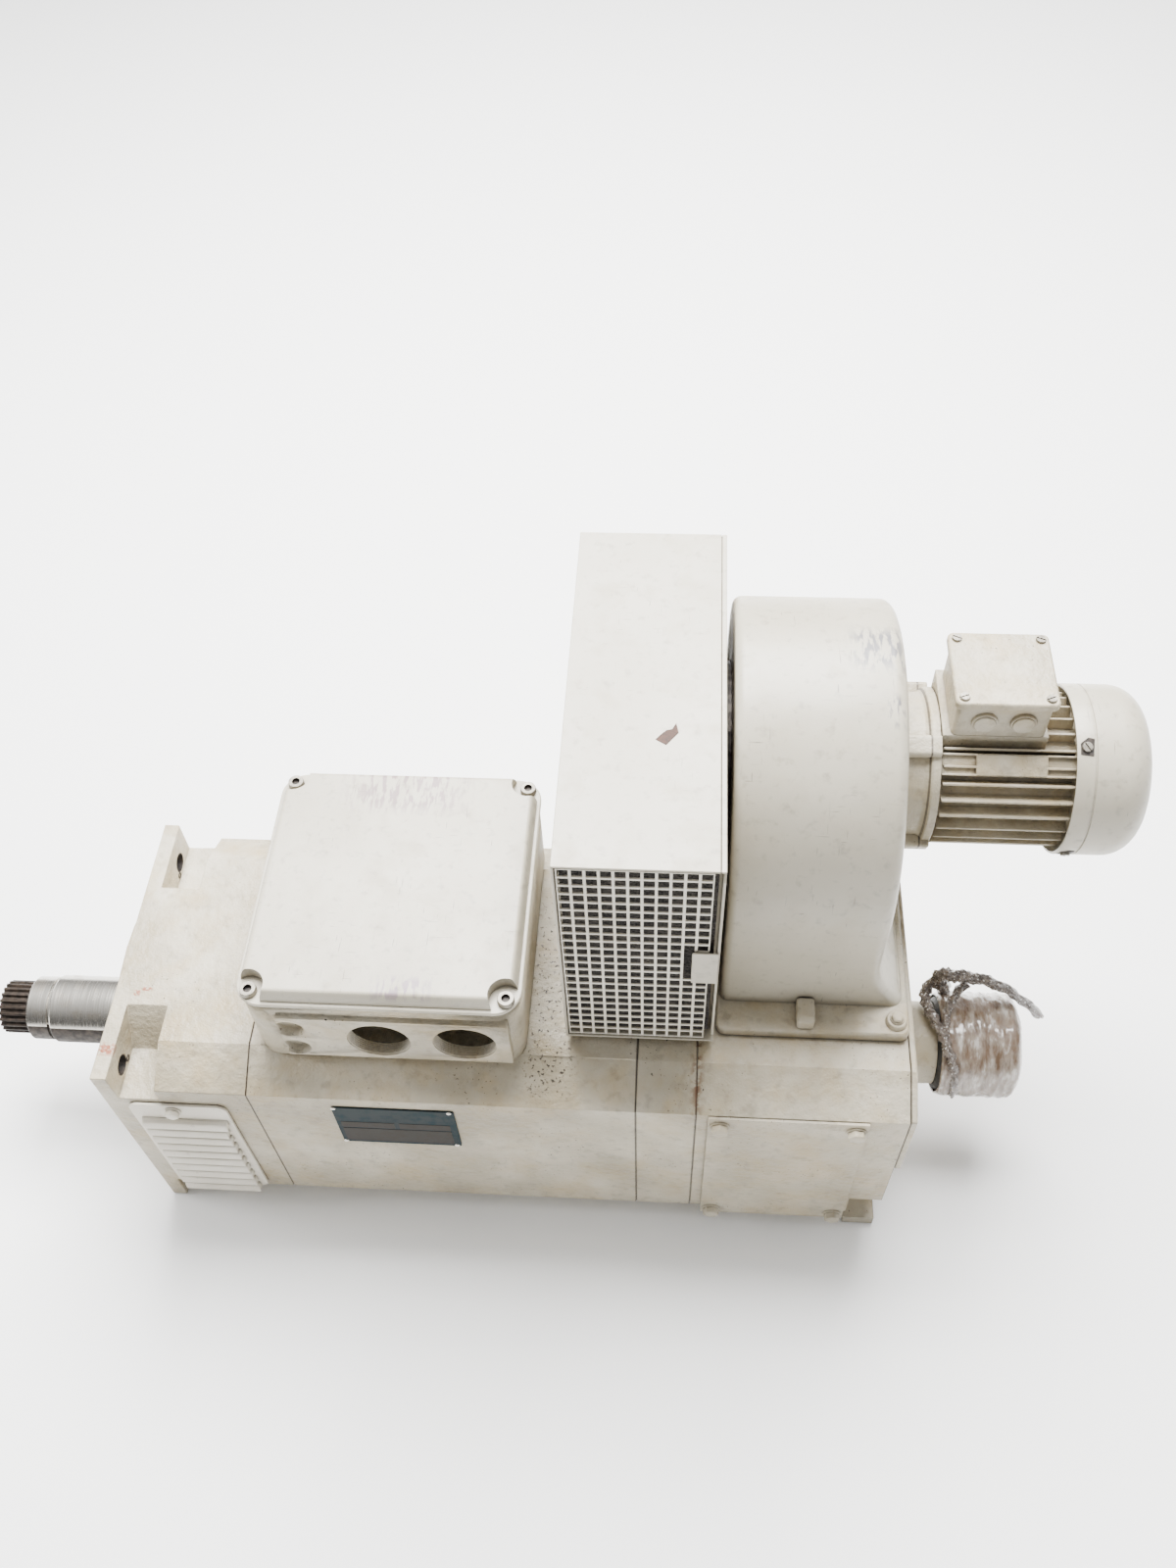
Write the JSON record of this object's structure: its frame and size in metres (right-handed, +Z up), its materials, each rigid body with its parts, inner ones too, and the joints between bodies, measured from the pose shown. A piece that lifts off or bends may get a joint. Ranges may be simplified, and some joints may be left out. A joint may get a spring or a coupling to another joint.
{
  "type": "force-ventilated dc motor",
  "caption": "Square-frame flange-mounted DC motor with a splined shaft, top-mounted radial blower, air filter box, cast terminal box and film-wrapped encoder.",
  "frame": {"origin": "middle of the bounding box footprint, on the ground plane under the frame and its feet", "axes": "+X from the output shaft to the brush end, along the shaft; +Z up; +Y to the side that the blower overhangs"},
  "size_m": [1.028, 0.3994, 0.5497],
  "materials": {
    "frame_paint": "satin warm grey machine enamel over cast iron, brushed on thickly",
    "sheet_paint": "satin warm off-white enamel on sheet steel and cast aluminium",
    "louvre_paint": "cream white enamel on pressed sheet steel",
    "bright_steel": "ground bright steel",
    "dark_steel": "oil-blackened steel",
    "lamination": "stacked varnished steel sheet",
    "copper": "varnished copper winding",
    "carbon": "pressed carbon, matt",
    "rubber": "matt black rubber",
    "resin": "brown moulded resin",
    "black_plastic": "matt black plastic",
    "nameplate": "anodised aluminium, dark blue-green",
    "filter_foam": "open dark filter mat",
    "film_wrap": "layers of clear stretch film, browned with dust and grease"
  },
  "bodies": {
    "machine": {"drive_end_shield": "frame_paint", "stator_frame": "frame_paint", "brush_end_housing": "frame_paint", "inspection_cover_front": "frame_paint", "inspection_cover_rear": "frame_paint", "brush_end_plate": "frame_paint", "cover_bolt_1": "frame_paint", "cover_bolt_2": "frame_paint", "cover_bolt_3": "frame_paint", "cover_bolt_4": "frame_paint", "terminal_box": "frame_paint", "blower_base": "frame_paint", "blower_motor_flange": "frame_paint", "blower_motor_housing": "frame_paint", "blower_terminal_box": "frame_paint", "blower_terminal_lid": "frame_paint", "entry_plug_1": "frame_paint", "entry_plug_2": "frame_paint", "encoder_adapter": "frame_paint", "terminal_box_lid": "sheet_paint", "scroll_housing": "sheet_paint", "fan_cowl": "sheet_paint", "filter_box": "sheet_paint", "louvre_front": "louvre_paint", "louvre_rear": "louvre_paint", "drive_end_bearing": "bright_steel", "brush_end_bearing": "bright_steel", "lid_screw_1": "bright_steel", "lid_screw_2": "bright_steel", "lid_screw_3": "bright_steel", "lid_screw_4": "bright_steel", "drive_end_bearing_cap": "dark_steel", "inlet_ring": "dark_steel", "blower_stator_core": "lamination", "main_pole_1": "copper", "main_pole_2": "copper", "main_pole_3": "copper", "main_pole_4": "copper", "carbon_brush_1": "carbon", "carbon_brush_2": "carbon", "carbon_brush_3": "carbon", "carbon_brush_4": "carbon", "shaft_seal": "rubber", "terminal_box_gasket": "rubber", "brush_rocker": "resin", "terminal_board": "resin", "encoder": "black_plastic", "nameplate": "nameplate", "filter_mat": "filter_foam", "encoder_wrap": "film_wrap"},
    "rotor": {"shaft": "bright_steel", "armature": "lamination", "commutator": "copper", "encoder_coupling": "bright_steel"},
    "blower_wheel": {"blower_rotor": "bright_steel", "impeller": "dark_steel", "cooling_fan": "black_plastic"},
    "grille": {"front_grille": "louvre_paint", "grille_clip": "louvre_paint"}
  },
  "joints": [
    {"name": "rotor_spin", "type": "hinge", "parent": "machine", "child": "rotor", "pos_m": [-0.054, -0.05835, 0.132], "axis": [1, 0, 0], "continuous": true},
    {"name": "blower_spin", "type": "hinge", "parent": "machine", "child": "blower_wheel", "pos_m": [0.286, 0.06165, 0.404], "axis": [1, 0, 0], "continuous": true},
    {"name": "grille_swing", "type": "hinge", "parent": "machine", "child": "grille", "pos_m": [0.051, -0.13735, 0.4045], "axis": [0, 0, 1], "range_deg": [-100, 0]}
  ]
}
